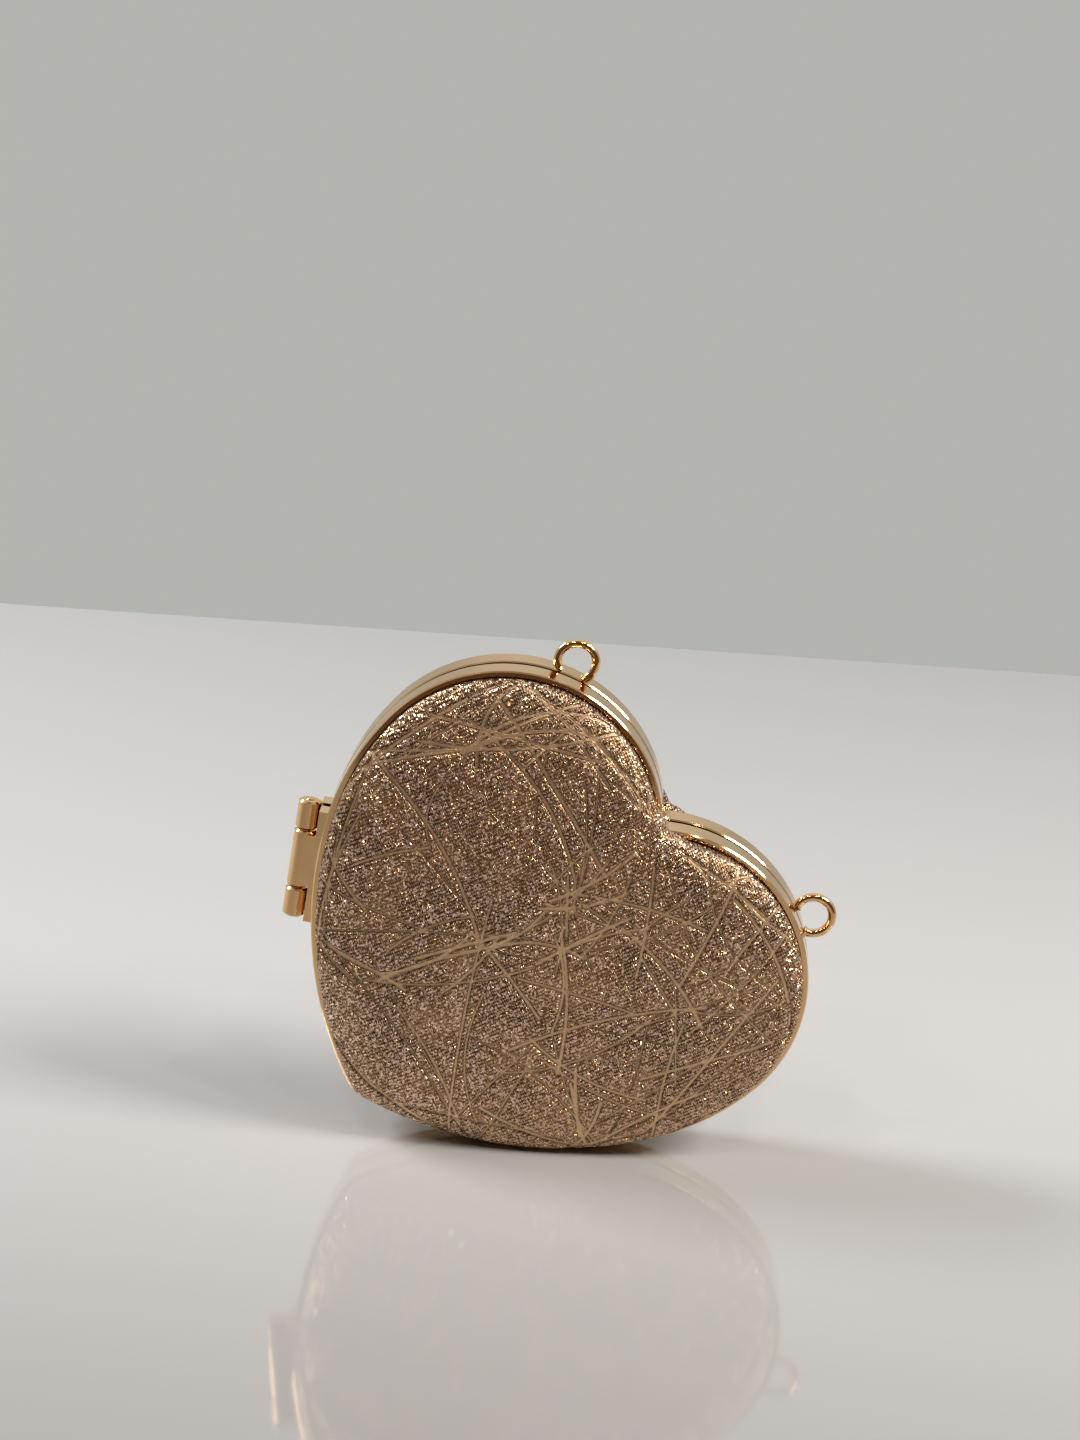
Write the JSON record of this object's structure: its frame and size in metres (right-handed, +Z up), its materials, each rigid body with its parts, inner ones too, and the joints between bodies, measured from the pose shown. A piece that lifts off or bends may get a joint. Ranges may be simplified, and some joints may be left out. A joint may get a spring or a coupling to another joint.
{
  "type": "heart shaped purse",
  "caption": "Hard-shell heart shaped evening purse: polished gold frames open on a barrel hinge and hold padded covers in embossed glitter fabric, with wire loops for a chain.",
  "frame": {"origin": "foot of the right flank, where the purse stands on the table, midway between its halves", "axes": "+Z up, +X to the right of a viewer who faces the front cover, -Y out of the front cover towards that viewer"},
  "size_m": [0.1475, 0.0384, 0.1392],
  "materials": {
    "gold_plated_metal": "polished, light rose gold plating",
    "glitter_fabric": "embossed metallic weave with glitter, bronze champagne",
    "foam_padding": "thin foam",
    "moulded_shell": "moulded",
    "lining_card": "pressed card",
    "lining_satin": "satin",
    "nickel_magnet": "nickel plated"
  },
  "bodies": {
    "rear_half": {"rear_frame": "gold_plated_metal", "rear_cover_fabric": "glitter_fabric", "rear_cover_padding": "foam_padding", "rear_cover_shell": "moulded_shell", "rear_lining_board": "lining_card", "rear_lining_satin": "lining_satin", "rear_rim_magnets": "nickel_magnet", "hinge_rear_leaf": "gold_plated_metal", "hinge_pin": "gold_plated_metal", "left_chain_loop": "gold_plated_metal", "right_chain_loop": "gold_plated_metal"},
    "front_half": {"front_frame": "gold_plated_metal", "front_cover_fabric": "glitter_fabric", "front_cover_padding": "foam_padding", "front_cover_shell": "moulded_shell", "front_lining_board": "lining_card", "front_lining_satin": "lining_satin", "front_rim_magnets": "nickel_magnet", "hinge_front_leaf": "gold_plated_metal"}
  },
  "joints": [
    {"name": "frame_hinge", "type": "hinge", "parent": "rear_half", "child": "front_half", "pos_m": [-0.0664, 0, 0.07494], "axis": [-0.1045, 0, -0.9945], "range_deg": [0, 105]}
  ]
}
